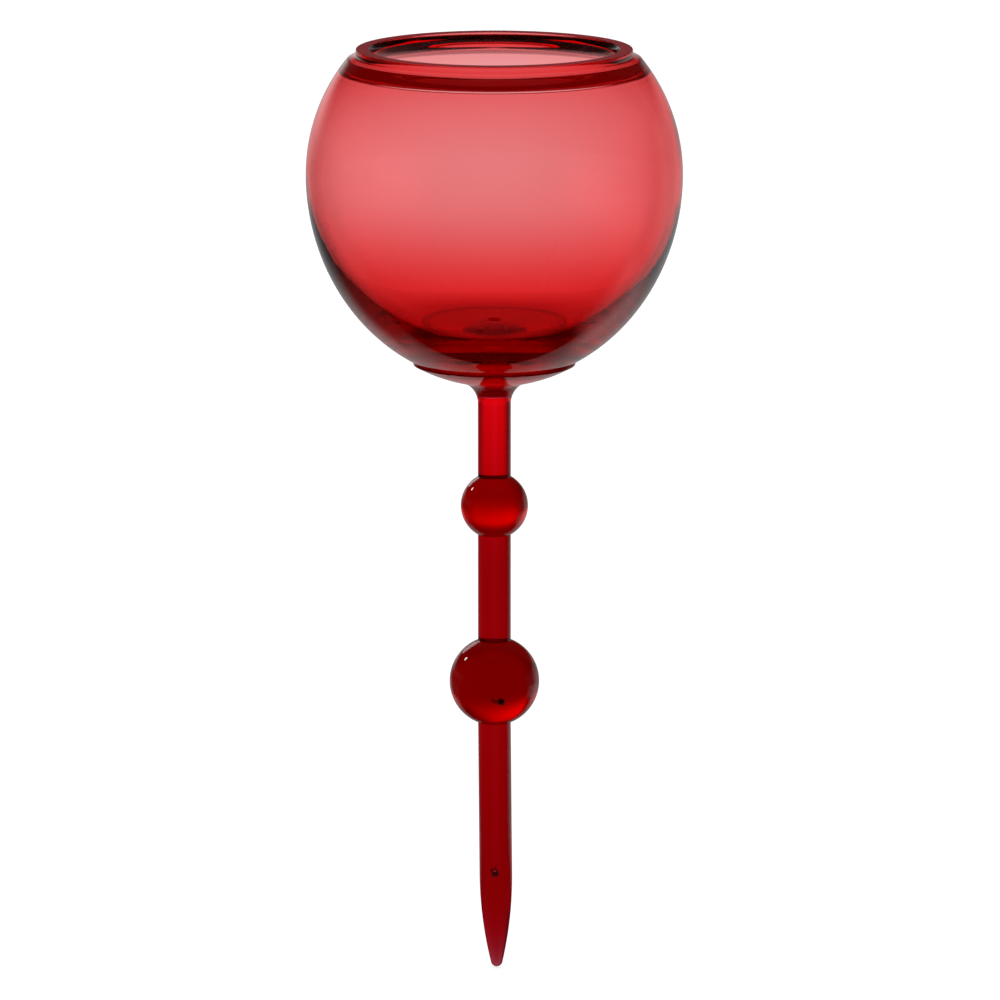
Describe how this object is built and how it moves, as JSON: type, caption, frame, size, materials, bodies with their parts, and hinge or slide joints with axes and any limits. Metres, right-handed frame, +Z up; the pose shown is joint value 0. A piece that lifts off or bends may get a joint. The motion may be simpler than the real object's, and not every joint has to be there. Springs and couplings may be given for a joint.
{
  "type": "watering globe",
  "caption": "Open globe-shaped glass bowl that stands in the saucer of a beaded glass stake; the stake is pushed into soil, and water drains from the bowl down its bore to drip outlets.",
  "frame": {"origin": "on the stake's axis at the soil line, where the spike meets the lower bead", "axes": "+Z up along the stake to the bowl's mouth, -Y towards the front, where the drip outlets are, +X to the right seen from the front"},
  "size_m": [0.1134, 0.1134, 0.2835],
  "materials": {
    "red_glass": "clear red glass, fire polished, with a ground rim",
    "clear_silicone": "translucent soft silicone"
  },
  "bodies": {
    "stake": {"saucer_cup": "red_glass", "upper_stem": "red_glass", "upper_bead": "red_glass", "middle_stem": "red_glass", "lower_bead": "red_glass", "spike": "red_glass"},
    "bush": {"bowl_bush": "clear_silicone"},
    "bowl": {"globe_bowl": "red_glass"}
  },
  "joints": [
    {"name": "bowl_lift", "type": "slide", "parent": "stake", "child": "bush", "axis": [0, 0, 1], "range_m": [0, 0.03]},
    {"name": "bowl_turn", "type": "hinge", "parent": "bush", "child": "bowl", "pos_m": [0, 0, 0.106], "axis": [0, 0, 1], "continuous": true}
  ]
}
